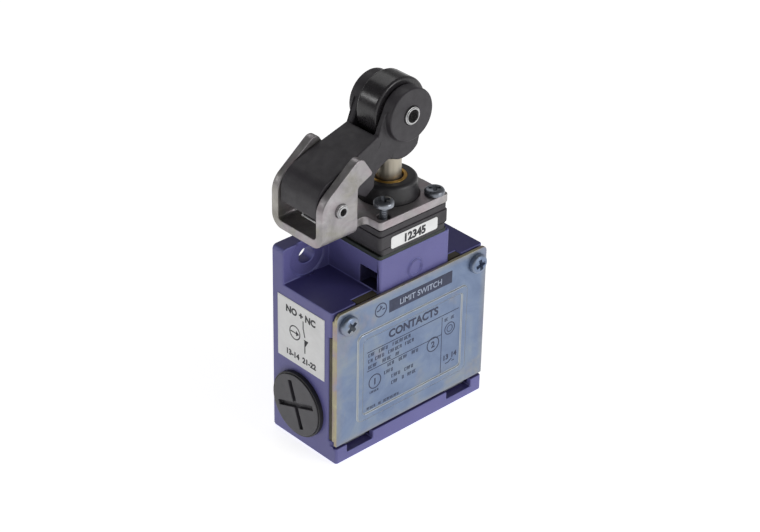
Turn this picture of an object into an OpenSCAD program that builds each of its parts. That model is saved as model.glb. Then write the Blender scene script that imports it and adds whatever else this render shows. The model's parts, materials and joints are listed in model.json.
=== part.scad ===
// Roller-lever limit switch: die-cast casing with a removable front cover,
// a head with a spring-returned plunger, and a roller lever that presses the
// plunger.  X is the width, -Y the front, +Z up.
// The origin is the centre of the casing's footprint.

/* [Casing] */
// Width of the casing
body_w = 64; // [62:1:72]
// Depth of the casing from ledge to back face
body_d = 30; // [30:1:34]
// Height of the casing's shoulders
shoulder_z = 55; // [54:0.5:58]
// Height of the rear mounting flange
flange_z = 67.2; // [66:0.2:72]
// Thickness of the rear mounting flange
flange_t = 5.3; // [4:0.1:7]
// Distance between the two mounting slots
slot_pitch = 44; // [40:1:48]
// Radius of the cable entries
entry_r = 9.3; // [8:0.1:9.6]

/* [Cover] */
// Thickness of the front cover sheet
cover_t = 1.3; // [1:0.1:1.6]
// Height of the cover's bottom edge
cover_bottom = 6.6; // [6:0.1:7]
// Height of the cover's top edge
cover_top = 55.1; // [54.5:0.1:56]

/* [Head] */
// Centre of the head across the width
head_x = 0.6; // [0:0.1:1.2]
// Height of the turret that carries the head
turret_z = 66.5; // [65:0.5:68]
// Radius of the plunger
plunger_r = 4.1; // [3.6:0.1:4.3]
// Thickness of the lever bracket sheet
bracket_t = 2.9; // [2.5:0.1:3]
// How far the front left head screw stands up
head_screw_lift = 4; // [0:0.5:5]

/* [Lever] */
// Pivot pin radius
pivot_r = 2.2; // [1.8:0.1:2.4]
// Roller radius
roller_r = 10.4; // [9.5:0.1:10.8]
// Roller width
roller_w = 8.6; // [7:0.2:8.8]
// Roller pin radius
roller_pin_r = 2.9; // [2.6:0.1:3.2]

/* [Hidden] */
$fn = 64;
e = 0.01;

half_w = body_w / 2;
back_y = body_d / 2;
front_y = -body_d / 2;
shoulder_t = back_y - flange_t;
cover_front = front_y + 0.05;
cover_back = cover_front + cover_t;
rim_y = cover_back + 0.9;
wall = 3;
floor_z = 3.4;
cavity_top = 52;
ledge_z = 5.7;
gasket_notch = 1.45;
entry_y = 2.1;
entry_z = 14.9;
entry_boss_r = 12;
bottom_boss_r = 12.4;
entry_boss_t = 3.4;
entry_inner = half_w - wall - entry_boss_t;
cover_screw_x = half_w - 4.5;
cover_screw_z = 50.3;
thread_r = 1.65;
slot_z = 61.5;
slot_r = 2.6;
slot_len = 6.2;
slot_seat_r = 6.8;
notch_x = [16.3, 27.2];
notch_z = 2.9;
side_notch = [7.8, 46];
top_notch_x = 22.2;
earth = [21, 22];
anchor = [14, 36];

axis_x = 1.5;
axis_y = -0.7;
turret_half = 14.9;
turret_front = -13.5;
recess_lo = [-12.35, 55.2];
recess_hi = [-4.7, 61.6];
recess_depth = 5;
mark_z = 58.5;
mark_r = 3;
head_half = 14.3;
head_front = -13.8;
head_back = back_y - 0.1;
gasket_z1 = turret_z + 1.4;
block_step_z = 70;
block_z1 = 74.5;
cap_z1 = 76.6;
plate_z0 = 77.05;
plate_z1 = plate_z0 + bracket_t;
plate_front = -13.9;
plate_back = 14.2;
neck_half = 7.2;
neck_fillet = 1.5;
boss_r = 9.75;
boss_z1 = 86;
chamber_r = 7;
spring_seat_z = 69.4;
collar_r = 6;
collar_z0 = 80.6;
collar_z1 = 82;
bush_z0 = 82.1;
bush_z1 = 83.2;
bush_flange_r = 7.7;
bush_r = 5.9;
wiper_r = 4.7;
wiper_z = 84.6;
run_gap = 0.05;
stem_r = 2.5;
plunger_z1 = 93.75;
plunger_z0 = 58;
head_screw_x = 10.65;
head_screw_y = 11.2;

lever_y = -0.1;
pivot = [-27.5, 88.5];
axle = [2.5, 109.05];
ear_x0 = -35;
ear_x1 = -20.7;
ear_out = 11.45;
ear_in = ear_out - bracket_t;
ear_r = 7.5;
web_half = 6.95;
arm_half = 8.15;
disc_half = 9.3;
disc_r = 8.65;
slot_half = 4.9;
roller_gap = 1.7;
hollow_half = 5.9;
far = 20;

paint = [0.36, 0.33, 0.56];
zinc = [0.55, 0.60, 0.68];
steel = [0.62, 0.61, 0.60];
black = [0.10, 0.10, 0.11];
dark = [0.20, 0.20, 0.21];
rubber = [0.30, 0.29, 0.26];
white = [0.92, 0.92, 0.90];
brass = [0.72, 0.55, 0.24];
amber = [0.60, 0.50, 0.34];
silver = [0.80, 0.80, 0.82];

// ---------- helpers ----------

// Points of an arc about c, from angle a0 to a1 in n steps
function arc(c, r, a0, a1, n) = [for (i = [0:n])
    let (a = a0 + (a1 - a0) * i / n) c + r * [cos(a), sin(a)]];

// Box between two corners
module span(lo, hi) {
    translate(lo) cube(hi - lo);
}

// Rectangle between two corners, with true round corners
module rounded(lo, hi, r) {
    translate([lo[0] + r, lo[1]]) square([hi[0] - lo[0] - 2 * r, hi[1] - lo[1]]);
    translate([lo[0], lo[1] + r]) square([hi[0] - lo[0], hi[1] - lo[1] - 2 * r]);
    for (x = [lo[0] + r, hi[0] - r], y = [lo[1] + r, hi[1] - r])
        translate([x, y]) circle(r);
}

// Upright block with round vertical edges
module block(lo, hi, r) {
    translate([0, 0, lo[2]]) linear_extrude(hi[2] - lo[2])
        rounded([lo[0], lo[1]], [hi[0], hi[1]], r);
}

// Box that spans the same range on the left and on the right
module pair_span(x0, x1, y, z) {
    for (s = [-1, 1])
        span([s > 0 ? x0 : -x1, y[0], z[0]], [s > 0 ? x1 : -x0, y[1], z[1]]);
}

// Turns an X-Z outline into a solid between two Y planes
module from_front(y0, y1) {
    translate([0, y1, 0]) rotate([90, 0, 0]) linear_extrude(y1 - y0) children();
}

module along_x(r, x0, x1, y, z) {
    translate([x0, y, z]) rotate([0, 90, 0]) cylinder(r = r, h = x1 - x0);
}

module along_y(r, y0, y1, x, z) {
    translate([x, y1, z]) rotate([90, 0, 0]) cylinder(r = r, h = y1 - y0);
}

module along_z(r, z0, z1, x, y) {
    translate([x, y, z0]) cylinder(r = r, h = z1 - z0);
}

// Cross-recess pan screw: top of the head at the origin, pointing down -Z
module pan_screw(head_r, head_h, shank_r, length) {
    dome_r = head_r * 1.9;
    difference() {
        union() {
            intersection() {
                translate([0, 0, -head_h]) cylinder(r = head_r, h = head_h);
                translate([0, 0, -dome_r]) sphere(dome_r, $fn = 96);
            }
            translate([0, 0, -head_h - length]) cylinder(r = shank_r, h = length + e);
        }
        for (a = [0, 90])
            rotate(a) translate([-head_r * 0.62, -head_r * 0.12, -head_h * 0.6])
                cube([head_r * 1.24, head_r * 0.24, head_h]);
    }
}

// Coil spring of round wire along +Z, as one swept tube
module coil(r, wire, height, turns) {
    sides = 8;
    rings = ceil(turns * 16);
    pts = [for (i = [0:rings], j = [0:sides - 1])
        let (t = 360 * turns * i / rings, a = 360 * j / sides, q = r + wire * cos(a))
        [q * cos(t), q * sin(t), wire + (height - 2 * wire) * i / rings + wire * sin(a)]];
    walls = [for (i = [0:rings - 1], j = [0:sides - 1])
        let (k = (j + 1) % sides)
        [i * sides + j, i * sides + k, (i + 1) * sides + k, (i + 1) * sides + j]];
    ends = [[for (j = [0:sides - 1]) sides - 1 - j], [for (j = [0:sides - 1]) rings * sides + j]];
    polyhedron(points = pts, faces = concat(walls, ends));
}

module at_head_screws() {
    for (sx = [-1, 1], sy = [-1, 1])
        translate([head_x + sx * head_screw_x, sy * head_screw_y, 0]) children();
}

// ---------- casing ----------

module mounting_slot(x) {
    reach = slot_len / 2 - slot_r;
    from_front(shoulder_t - e, back_y + e) {
        for (s = [-1, 1]) translate([x + s * reach, slot_z]) circle(slot_r);
        translate([x - reach, slot_z - slot_r]) square([2 * reach, 2 * slot_r]);
    }
}

module casing_cavity() {
    difference() {
        span([-half_w + wall, rim_y - e, floor_z], [half_w - wall, back_y - wall, cavity_top]);
        for (s = [-1, 1])
            along_y(4.5, rim_y - 1, back_y, s * cover_screw_x, cover_screw_z);
        along_x(entry_boss_r, -half_w, -entry_inner, entry_y, entry_z);
        along_x(entry_boss_r, entry_inner, half_w, entry_y, entry_z);
        along_z(bottom_boss_r, 0, floor_z + entry_boss_t, 0, 0);
        along_y(3.2, back_y - wall - 3, back_y, earth[0], earth[1]);
    }
}

module casing_shell() {
    block([-half_w, rim_y, 0], [half_w, back_y, shoulder_z], 1);
    block([-half_w, front_y, 0], [half_w, back_y, ledge_z], 1);
    from_front(shoulder_t, back_y) rounded([-half_w, 0], [half_w, flange_z], 1.6);
    block([axis_x - turret_half, turret_front, shoulder_z - 1],
          [axis_x + turret_half, back_y, turret_z], 1.2);
}

// Seats in the front rim for the gasket, and notches in the ledge for the cover's tabs
module rim_notches() {
    pair_span(notch_x[0], notch_x[1], [front_y - 1, -11], [notch_z, ledge_z + 1]);
    pair_span(half_w - wall - 1, half_w + 1, [rim_y - 1, rim_y + gasket_notch], side_notch);
    span([-top_notch_x, rim_y - 1, cavity_top - 1],
         [axis_x - turret_half, rim_y + 2.4, shoulder_z + 1]);
    span([axis_x + turret_half, rim_y - 1, cavity_top - 1],
         [top_notch_x, rim_y + 2.4, shoulder_z + 1]);
}

module body_casing() {
    color(paint) difference() {
        casing_shell();
        casing_cavity();
        rim_notches();
        for (s = [-1, 1]) {
            mounting_slot(s * slot_pitch / 2);
            along_y(slot_seat_r, shoulder_t - 1, shoulder_t + 0.5, s * slot_pitch / 2, slot_z);
            along_y(thread_r, rim_y - 1, rim_y + 12, s * cover_screw_x, cover_screw_z);
            along_y(1, back_y - wall - 1, back_y - 0.8, s * anchor[0], anchor[1]);
        }
        along_x(entry_r, -half_w - 1, -entry_inner + 1, entry_y, entry_z);
        along_x(entry_r, entry_inner - 1, half_w + 1, entry_y, entry_z);
        along_z(entry_r, -1, floor_z + entry_boss_t + 1, 0, 0);
        along_z(5, cavity_top - 1, turret_z + 1, axis_x, axis_y);
        at_head_screws() along_z(1.25, turret_z - 9, turret_z + 1, 0, 0);
        span([head_x - head_half - 1.5, shoulder_t - 1, turret_z],
             [head_x + head_half + 1.5, back_y + 1, flange_z + 1]);
        span([axis_x - turret_half - 1, recess_lo[0], recess_lo[1]],
             [axis_x - turret_half + recess_depth, recess_hi[0], recess_hi[1]]);
        along_y(thread_r, back_y - wall - 4, back_y - 1, earth[0], earth[1]);
    }
    color(paint) difference() {
        along_y(mark_r, turret_front - 0.3, turret_front + e, axis_x, mark_z);
        along_y(mark_r - 0.5, turret_front - 1, turret_front + 1, axis_x, mark_z);
    }
}

module cover_gasket() {
    gasket_x = half_w - 1.1;
    seat_y = [rim_y - e, rim_y + gasket_notch - 0.1];
    turret_x = [axis_x - turret_half - 0.1, axis_x + turret_half + 0.1];
    color(rubber) difference() {
        union() {
            from_front(cover_back, rim_y) rounded([-gasket_x, 7.8], [gasket_x, shoulder_z - 0.7], 1.5);
            pair_span(half_w - wall, half_w - 0.25, seat_y, [8, 45.8]);
            span([-22, rim_y - e, cavity_top], [turret_x[0], rim_y + 2.3, shoulder_z - 0.2]);
            span([turret_x[1], rim_y - e, cavity_top], [22, rim_y + 2.3, shoulder_z - 0.2]);
        }
        span([-half_w + wall, cover_back - 1, 9.5], [half_w - wall, rim_y + 3, 45]);
        span([-22.5, cover_back - 1, 44], [22.5, rim_y + 3, cavity_top]);
        for (s = [-1, 1]) along_y(2.3, cover_back - 1, rim_y + 1, s * cover_screw_x, cover_screw_z);
        span([turret_x[0], -13.6, cavity_top + 0.5], [turret_x[1], 0, shoulder_z + 1]);
    }
}

// Raised rib frame pressed into the cover
module cover_bead() {
    from_front(cover_front - 0.5, cover_front + e) difference() {
        rounded([-23.4, 12], [23.4, 44.2], 2);
        rounded([-21.2, 14.2], [21.2, 42], 1.2);
    }
}

module cover_tab(x) {
    tab_half = 4.8;
    tab_y = [-12.4, -11.3];
    span([x - tab_half, cover_back - e, cover_bottom], [x + tab_half, tab_y[1], cover_bottom + 1]);
    span([x - tab_half, tab_y[0], 3.6], [x + tab_half, tab_y[1], cover_bottom + 0.1]);
}

module front_cover() {
    color(zinc) difference() {
        union() {
            from_front(cover_front, cover_back) {
                rounded([-half_w, cover_bottom + 5], [half_w, cover_top], 2);
                translate([-half_w, cover_bottom]) square([body_w, 20]);
            }
            pair_span(half_w - 0.9, half_w, [cover_back - e, rim_y - 0.05], [8, cover_top - 2.5]);
            cover_bead();
            for (s = [-1, 1]) cover_tab(s * 21.7);
        }
        for (s = [-1, 1])
            along_y(2.2, cover_front - 1, cover_back + 1, s * cover_screw_x, cover_screw_z);
    }
}

module cover_screws() {
    head_h = 2.05;
    color(zinc) for (s = [-1, 1])
        translate([s * cover_screw_x, cover_front - head_h, cover_screw_z])
            rotate([90, s > 0 ? 70 : 40, 0]) pan_screw(3.35, head_h, 1.6, 11);
}

// Screwed blanking plug with a cross slot; the face looks along -X
module cable_plug() {
    face = -half_w - 1.9;
    difference() {
        union() {
            along_x(10.6, face, -half_w - 0.6, entry_y, entry_z);
            along_x(entry_r - 0.1, -half_w - 0.7, -half_w + 5.6, entry_y, entry_z);
        }
        translate([face, entry_y, entry_z]) for (a = [-19.6, 70.4])
            rotate([a, 0, 0]) translate([-1, -8.45, -0.85]) cube([2.3, 16.9, 1.7]);
        along_x(7, -half_w + 1.2, -half_w + 6, entry_y, entry_z);
    }
}

module cable_plug_left() {
    color(dark) cable_plug();
}

module cable_plug_right() {
    color(dark) mirror([1, 0, 0]) cable_plug();
}

module plug_seals() {
    color(black) for (s = [0, 1]) mirror([s, 0, 0]) difference() {
        along_x(11.2, -half_w - 1.5, -half_w, entry_y, entry_z);
        along_x(10.6, -half_w - 3, -half_w - 0.6, entry_y, entry_z);
        along_x(entry_r, -half_w - 3, -half_w + 1, entry_y, entry_z);
    }
}

module side_label() {
    color(white) span([-half_w - 0.15, -9.5, 28.8], [-half_w, 12.3, 51.2]);
}

// ---------- head ----------

// One layer of the head, inset from its outline in X and Y
module head_layer(inset, z0, z1) {
    block([head_x - head_half + inset[0], head_front + inset[1], z0],
          [head_x + head_half - inset[0], head_back - inset[1], z1], 1);
}

// Bore for the plunger and the screws' clearance holes
module head_bores(bore_r) {
    along_z(bore_r, turret_z - 1, plate_z1, axis_x, axis_y);
    at_head_screws() along_z(1.6, turret_z - 1, plate_z1, 0, 0);
}

module head_gasket() {
    color(rubber) difference() {
        head_layer([0.2, 0.2], turret_z, gasket_z1);
        head_bores(5);
    }
}

module head_block() {
    color(black) difference() {
        union() {
            head_layer([1, 0.05], gasket_z1, block_step_z + e);
            head_layer([0, 0], block_step_z, block_z1);
        }
        head_bores(stem_r + run_gap);
        along_z(chamber_r, spring_seat_z, block_z1 + 1, axis_x, axis_y);
    }
}

module head_cap() {
    color(black) difference() {
        union() {
            head_layer([0.3, 0.3], block_z1, cap_z1);
            head_layer([1, 1], cap_z1 - e, plate_z0);
        }
        head_bores(chamber_r);
    }
}

module head_label() {
    color(white) from_front(head_front - 0.15, head_front) rounded([-9.2, 69.2], [10.3, 73.4], 0.8);
}

// Side outline of the bracket's ears
module ear_outline() {
    tip = [-20.3, 100.2];
    polygon(concat(
        [[ear_x0, plate_z0], [ear_x0, pivot[1]]],
        arc(pivot, ear_r, 180, 127, 8),
        arc(tip, 2.6, 127, 32, 8),
        arc([-16, 96.9], 0.8, 32, -55, 5),
        arc([-19.4, 92.9], 1.4, 122, 180, 5),
        [[-20.9, 86], [ear_x1, plate_z0]]));
}

// Cross-section of the channel that carries the ears
module channel_section() {
    difference() {
        rounded([-ear_out, plate_z0], [ear_out, 115], 4.4);
        rounded([-ear_in, plate_z1], [ear_in, 120], 1.5);
    }
}

// Neck between the channel and the plate, with a fillet on each side of the plate's edge
module bracket_neck() {
    plate_x0 = head_x - head_half;
    translate([0, 0, plate_z0]) linear_extrude(bracket_t) {
        translate([ear_x1 - 1, lever_y - neck_half]) square([plate_x0 - ear_x1 + 3, 2 * neck_half]);
        for (s = [-1, 1]) translate([plate_x0, lever_y + s * neck_half]) difference() {
            translate([-neck_fillet, s > 0 ? -e : -neck_fillet])
                square([neck_fillet + e, neck_fillet + e]);
            translate([-neck_fillet, s * neck_fillet]) circle(neck_fillet);
        }
    }
}

module lever_bracket() {
    color(steel) difference() {
        union() {
            intersection() {
                translate([ear_x0, lever_y, 0]) rotate([90, 0, 90]) linear_extrude(20) channel_section();
                from_front(-far, far) ear_outline();
            }
            bracket_neck();
            block([head_x - head_half, plate_front, plate_z0],
                  [head_x + head_half, plate_back, plate_z1], 1.2);
        }
        along_y(pivot_r, -far, far, pivot[0], pivot[1]);
        along_z(boss_r + 0.1, plate_z0 - 1, plate_z1 + 1, axis_x, axis_y);
        at_head_screws() along_z(2.1, plate_z0 - 1, plate_z1 + 1, 0, 0);
    }
}

module head_screws() {
    head_h = 2;
    color(zinc) for (sx = [-1, 1], sy = [-1, 1])
        translate([head_x + sx * head_screw_x, sy * head_screw_y,
                   plate_z1 + head_h + (sx < 0 && sy < 0 ? head_screw_lift : 0.15)])
            rotate([0, 0, 25 + 40 * sx + 15 * sy]) pan_screw(3.2, head_h, 1.25, 19);
}

// Ring turned about the plunger's axis
module turned() {
    translate([axis_x, axis_y, 0]) rotate_extrude($fn = 96) children();
}

module guide_boss() {
    color(black) turned() polygon(concat(
        [[chamber_r, plate_z0], [boss_r, plate_z0], [boss_r, plate_z1 + 0.25], [9.15, 83.9]],
        arc([7.8, 84.65], 1.35, 5, 90, 6),
        [[bush_r, boss_z1], [bush_r, bush_z1], [bush_flange_r, bush_z1], [bush_flange_r, bush_z0],
         [chamber_r, bush_z0]]));
}

module plunger_bush() {
    bore_r = plunger_r + run_gap;
    color(brass) turned() polygon(
        [[bore_r, bush_z0], [bush_flange_r, bush_z0], [bush_flange_r, bush_z1], [bush_r, bush_z1],
         [bush_r, boss_z1 - 0.1], [bush_r - 0.3, boss_z1 + 0.15], [wiper_r + 0.2, boss_z1 + 0.15],
         [wiper_r, boss_z1 - 0.1], [wiper_r, wiper_z], [bore_r, wiper_z]]);
}

module plunger_wiper() {
    bore_r = plunger_r + run_gap;
    color(rubber) turned() polygon(
        [[bore_r, wiper_z], [wiper_r, wiper_z], [wiper_r, wiper_z + 0.6], [bore_r, wiper_z + 0.9]]);
}

module plunger() {
    color(steel) turned() polygon(
        [[0, plunger_z0], [stem_r - 0.4, plunger_z0], [stem_r, plunger_z0 + 0.4], [stem_r, collar_z0],
         [collar_r, collar_z0], [collar_r, collar_z1], [plunger_r, collar_z1],
         [plunger_r, plunger_z1 - 0.5], [plunger_r - 0.5, plunger_z1], [0, plunger_z1]]);
}

module plunger_spring() {
    color(steel) translate([axis_x, axis_y, spring_seat_z + 0.05])
        coil(4.6, 0.4, collar_z0 - spring_seat_z - 0.1, 4.5);
}

// ---------- lever ----------

module hollow_pin(c, r, hole_r, half_len) {
    difference() {
        union() {
            along_y(r, lever_y - half_len + 0.3, lever_y + half_len - 0.3, c[0], c[1]);
            along_y(r - 0.3, lever_y - half_len, lever_y + half_len, c[0], c[1]);
        }
        along_y(hole_r, lever_y - half_len - 1, lever_y + half_len + 1, c[0], c[1]);
    }
}

module pivot_pin() {
    color(steel) hollow_pin(pivot, pivot_r, 1.2, ear_out + 1.1);
}

module roller_pin() {
    color(steel) hollow_pin(axle, roller_pin_r, 2.1, disc_half + 0.75);
}

// Side outline of the lever: round back, straight arm, fork and pressing nose
module lever_outline() {
    polygon(concat(
        [[-34.3, 86.3]],
        arc([-26.8, 90.4], 7.5, 180, 110, 10),
        [[-8.7, 105]],
        arc(axle, disc_r, 156, -35, 24),
        [[8.4, 99.6]],
        arc([1.6, 101.9], 8, -40, -125, 12),
        [[-4.6, 95.5], [-7.6, 94.2], [-9.9, 92.2], [-10.3, 88.2]],
        [[-13.8, 86.3], [-17, 88.4], [-20.5, 86.4]],
        arc(pivot, 5, -35, -120, 8)));
}

// Hollow under the arm that houses the pivot spring
module arm_hollow_outline() {
    polygon(concat(
        [[-32.2, 80]],
        arc([-26.8, 90.4], 5.4, 180, 110, 8),
        [[-14.5, 100.4], [-13.2, 96.5], [-15.5, 80]]));
}

// Plan of the lever: wide at the pivot, narrower at the fork
module lever_plan() {
    polygon([[-40, -arm_half], [-23, -arm_half], [-8.7, -web_half], [far, -web_half],
             [far, web_half], [-8.7, web_half], [-23, arm_half], [-40, arm_half]]);
}

module lever() {
    color(black) difference() {
        union() {
            intersection() {
                from_front(-far, far) lever_outline();
                translate([0, lever_y, 70]) linear_extrude(60) lever_plan();
            }
            along_y(disc_r, lever_y - disc_half, lever_y + disc_half, axle[0], axle[1]);
        }
        along_y(roller_r + roller_gap, lever_y - slot_half, lever_y + slot_half, axle[0], axle[1]);
        from_front(lever_y - hollow_half, lever_y + hollow_half) arm_hollow_outline();
        along_y(roller_pin_r, -far, far, axle[0], axle[1]);
        along_y(pivot_r + run_gap, -far, far, pivot[0], pivot[1]);
    }
}

// Torsion spring round the pivot pin, with a cross leg at the back
module lever_spring() {
    wire = 0.45;
    leg = [-31.9, 83.7];
    color(steel) {
        translate([pivot[0], lever_y + 3.2, pivot[1]]) rotate([90, 0, 0]) coil(3.2, wire, 6.4, 5);
        along_y(wire, lever_y - 5.4, lever_y + 1, leg[0], leg[1]);
        translate([leg[0], lever_y + 0.4, leg[1]]) rotate([0, 13.6, 0]) cylinder(r = wire, h = 2.9);
    }
}

module roller() {
    rim = 0.9;
    w = roller_w / 2;
    bore_r = roller_pin_r + run_gap;
    color(black) translate([axle[0], lever_y, axle[1]]) rotate([90, 0, 0])
        rotate_extrude($fn = 128) polygon(concat(
            [[bore_r, -w], [roller_r - rim, -w]],
            arc([roller_r - rim, -w + rim], rim, -90, 0, 5),
            arc([roller_r - rim, w - rim], rim, 0, 90, 5),
            [[bore_r, w]]));
}

// ---------- contact block ----------

block_x = 17;
block_y0 = -3;
block_y1 = back_y - wall;
block_z0 = 22;
block_top = 50;
carrier_x = 6;
channel_x = 6.3;
carrier_y0 = -2.7;
carrier_y1 = 4.7;
carrier_z0 = 31.5;
carrier_top = 51;
bridge_z = [35.2, 43.6];
terminal_x = 11.8;
terminal_z = [25.2, 47.2];
window_z = [27.5, 45.5];
anchor_y = 5.1;

module contact_base() {
    color(amber) difference() {
        span([-block_x, block_y0, block_z0], [block_x, block_y1, block_top]);
        span([-channel_x, block_y0 - 1, 24], [channel_x, 5, block_top + 1]);
        for (s = [-1, 1]) {
            for (z = terminal_z) along_y(1.2, block_y0 - 1, 6, s * terminal_x, z);
            along_y(1.6, 0, anchor_y, s * anchor[0], anchor[1]);
            along_y(1, 0, block_y1 + 1, s * anchor[0], anchor[1]);
        }
        pair_span(channel_x - 1, 15.5, [block_y0 - 1, 3.2], window_z);
    }
}

module contact_cover() {
    color(dark) difference() {
        span([-channel_x - 3, block_y0 - 1.2, 29], [channel_x + 3, block_y0, 44]);
        span([-2, block_y0 - 2, 33], [2, block_y0 + 1, 40]);
    }
}

module contact_block_screws() {
    color(steel) for (s = [-1, 1])
        translate([s * anchor[0], anchor_y - 1.5, anchor[1]])
            rotate([90, 0, 0]) pan_screw(1.5, 1.5, 0.95, 8.8);
}

module contact_carrier() {
    color(white) {
        difference() {
            span([-carrier_x, carrier_y0, carrier_z0], [carrier_x, carrier_y1, carrier_top]);
            for (z = bridge_z) span([-carrier_x - 1, -1.6, z], [carrier_x + 1, 2, z + 0.8]);
            along_z(3.2, carrier_z0 - 1, carrier_z0 + 2.5, 0, 1);
        }
        along_z(2.4, carrier_top - e, plunger_z0 - 0.15, axis_x, axis_y);
    }
}

module contact_bridges() {
    color(silver) for (z = bridge_z) span([-14.8, -1.6, z], [14.8, 2, z + 0.8]);
}

// Terminal plates with the fixed contact finger inside the block's windows
module terminal_plates() {
    color(silver) for (s = [-1, 1], k = [0, 1]) {
        z = terminal_z[k];
        difference() {
            span([s * terminal_x - 3.2, block_y0 - 0.8, z - 2.6],
                 [s * terminal_x + 3.2, block_y0, z + 2.6]);
            along_y(1.5, block_y0 - 2, block_y0 + 1, s * terminal_x, z);
        }
        span([s * 13 - 1.6, block_y0 - e, k == 0 ? 27.6 : 44.6],
             [s * 13 + 1.6, 1.6, k == 0 ? 28.4 : 45.4]);
    }
}

module terminal_screws() {
    color(zinc) for (s = [-1, 1], z = terminal_z)
        translate([s * terminal_x, block_y0 - 3.4, z]) rotate([90, 30, 0]) pan_screw(2.6, 1.8, 1.15, 6.5);
}

module clamp_washers() {
    color(zinc) for (s = [-1, 1], z = terminal_z) difference() {
        span([s * terminal_x - 2.7, block_y0 - 1.6, z - 2.5],
             [s * terminal_x + 2.7, block_y0 - 0.8, z + 2.5]);
        along_y(1.3, block_y0 - 3, block_y0, s * terminal_x, z);
    }
}

module carrier_spring() {
    color(steel) translate([0, 1, 24.05]) coil(2.5, 0.35, 9.9, 5);
}

module earth_clamp() {
    color(zinc) difference() {
        span([earth[0] - 3, back_y - wall - 4.2, earth[1] - 3],
             [earth[0] + 3, back_y - wall - 3, earth[1] + 3]);
        along_y(1.7, 0, back_y, earth[0], earth[1]);
    }
}

module earth_screw() {
    color(zinc) translate([earth[0], back_y - wall - 6.2, earth[1]])
        rotate([90, 15, 0]) pan_screw(3, 2, 1.6, 5);
}

body_casing();
cover_gasket();
front_cover();
cover_screws();
cable_plug_left();
cable_plug_right();
plug_seals();
side_label();
head_gasket();
head_block();
head_cap();
head_label();
lever_bracket();
head_screws();
guide_boss();
plunger_bush();
plunger_wiper();
plunger();
plunger_spring();
pivot_pin();
lever();
lever_spring();
roller_pin();
roller();
contact_base();
contact_cover();
contact_block_screws();
contact_carrier();
contact_bridges();
terminal_plates();
terminal_screws();
clamp_washers();
carrier_spring();
earth_clamp();
earth_screw();
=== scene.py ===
import json
import math

import bmesh
import bpy
import numpy as np
from mathutils import Matrix, Vector
from mathutils.bvhtree import BVHTree
from mathutils.geometry import delaunay_2d_cdt


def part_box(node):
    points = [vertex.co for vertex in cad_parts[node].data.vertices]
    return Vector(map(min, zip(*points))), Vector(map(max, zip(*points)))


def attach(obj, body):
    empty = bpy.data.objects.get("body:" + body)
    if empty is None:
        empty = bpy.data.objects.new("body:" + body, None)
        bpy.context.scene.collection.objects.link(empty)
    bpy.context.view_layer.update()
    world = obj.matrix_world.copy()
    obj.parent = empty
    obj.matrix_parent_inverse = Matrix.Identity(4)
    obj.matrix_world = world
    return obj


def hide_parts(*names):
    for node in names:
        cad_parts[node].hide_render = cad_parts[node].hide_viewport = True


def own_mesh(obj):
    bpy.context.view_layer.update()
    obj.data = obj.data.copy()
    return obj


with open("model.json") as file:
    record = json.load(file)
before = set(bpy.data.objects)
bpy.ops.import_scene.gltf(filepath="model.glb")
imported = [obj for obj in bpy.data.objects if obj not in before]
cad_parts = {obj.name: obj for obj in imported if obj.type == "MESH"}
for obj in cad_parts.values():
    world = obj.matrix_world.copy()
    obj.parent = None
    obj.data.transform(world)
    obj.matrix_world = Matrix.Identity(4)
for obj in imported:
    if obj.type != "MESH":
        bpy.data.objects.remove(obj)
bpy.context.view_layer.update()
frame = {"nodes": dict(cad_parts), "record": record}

MM = 0.001
PI = math.pi

# The camera that was solved from the photograph: degrees, metres and a 36 mm sensor.
CAM_YAW, CAM_PITCH, CAM_ROLL = (math.radians(turn) for turn in (43.366, 31.370, 1.105))
CAM_PLACE = (-0.3911, -0.4135, 0.4003)
CAM_LENS = 100.89
CAM_SENSOR = 36
CAM_CLIP_START = 0.05

# Studio: metres and watts. Each light is (name, place, size, power).
LIGHT_TARGET = (0, 0, 0.055)
LIGHTS = (
    ("key_left", (-0.55, -0.78, 0.36), 0.45, 0.4),
    ("key_right", (0.35, -0.95, 0.40), 0.5, 3.0),
    ("rim_left", (-0.72, 0.62, 0.46), 0.14, 0.8),
    ("top", (0.16, 0.48, 0.66), 0.46, 0.75),
)
SKY_STOPS = ((0.0, 0.85), (0.62, 0.95), (1.0, 0.12))
SKY_BRIGHT_SIDE = (0.70, -0.71, 0.0)
SKY_DARKEST, SKY_BRIGHTEST, SKY_STRENGTH = 0.03, 1.20, 0.46
FLOOR_HALF, FLOOR_HEIGHT, FLOOR_GLOW = 4.0, -0.0001, 0.80

# Places on the object that its looks depend on, in mm.
# The recess box marks where the casing paint gets painted shade.
RECESS_LOW, RECESS_HIGH = (-13.2, -12.5, 54.9), (-8.2, -4.5, 61.8)
COVER_CENTER, COVER_HALF = {"X": 0, "Z": 30.85}, {"X": 32, "Z": 24.25}

# Within these gaps, in metres, a point lies in a plane and two points are one. Within this
# angle two faces are one.
FLAT_GAP = 2e-6
WELD_GAP = 0.03 * MM
SAME_PLANE = math.radians(0.6)
# How far a rounded point may lie from the plain shape, as a share of the rounding's width.
STRAY = 1.05

# Screws, in mm: head radius, head height, shank radius and shank length.
COVER_SCREW = (3.35, 2.05, 1.6, 11)
HEAD_SCREW = (3.2, 2, 1.25, 19)
# The front left head screw stands this far above the others.
RAISED_BY = 3.85
THREAD_PITCH, THREAD_DEPTH, THREAD_STEPS = 0.7, 0.28, 24
# The cross recess, as shares of the head's radius, and its depth as a share of the head's height.
CROSS_TOP, CROSS_LOW, CROSS_WIDE, CROSS_THIN, CROSS_DEEP = 0.68, 0.28, 0.21, 0.14, 0.80

# Printing stands this far out of its face and goes this far into it, in mm.
INK_OUT, INK_IN = 0.035, 0.01

scene = bpy.context.scene
LOOK = {}


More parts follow.
